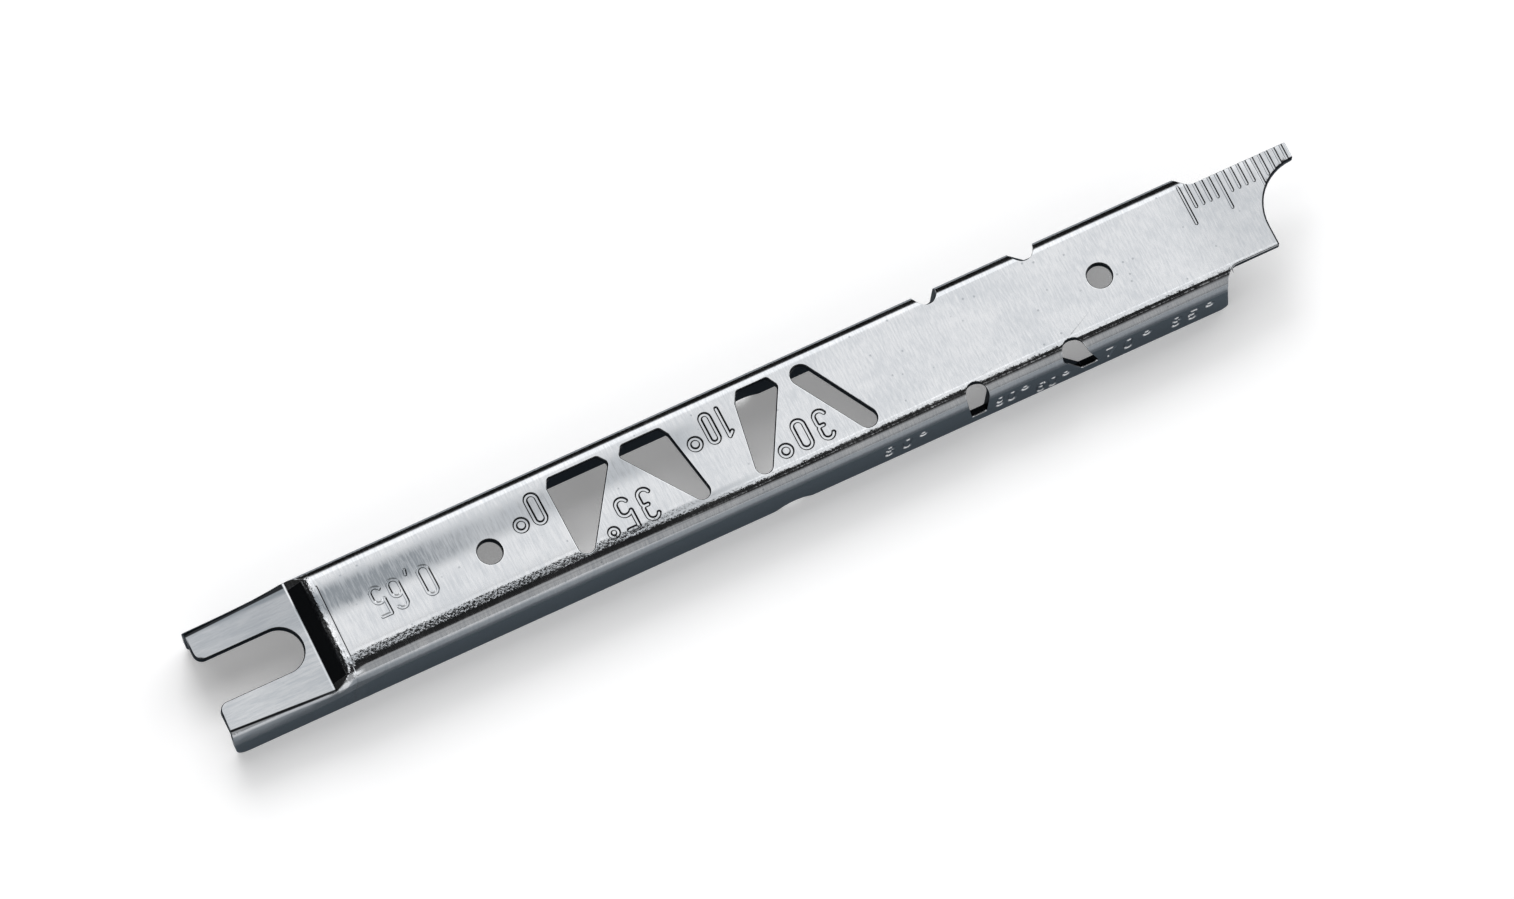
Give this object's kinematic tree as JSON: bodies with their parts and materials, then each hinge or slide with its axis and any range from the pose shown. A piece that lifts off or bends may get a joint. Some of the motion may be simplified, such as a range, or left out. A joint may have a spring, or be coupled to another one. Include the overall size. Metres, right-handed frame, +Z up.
{
  "type": "chainsaw filing gauge",
  "caption": "Folded sheet steel gauge with a forked stepped end, angled windows, notched flanges and a hooked rule end.",
  "frame": {"origin": "under the middle of the gauge's box, level with the flanges' lower edges, on which it stands", "axes": "+X along the gauge towards the hooked end, +Y towards the hook's tip, +Z up, square to the web"},
  "size_m": [0.1528, 0.0158, 0.0087],
  "materials": {
    "plated_steel": "bright zinc-plated sheet, finely brushed"
  },
  "bodies": {
    "root": {"gauge_body": "plated_steel"}
  },
  "joints": []
}
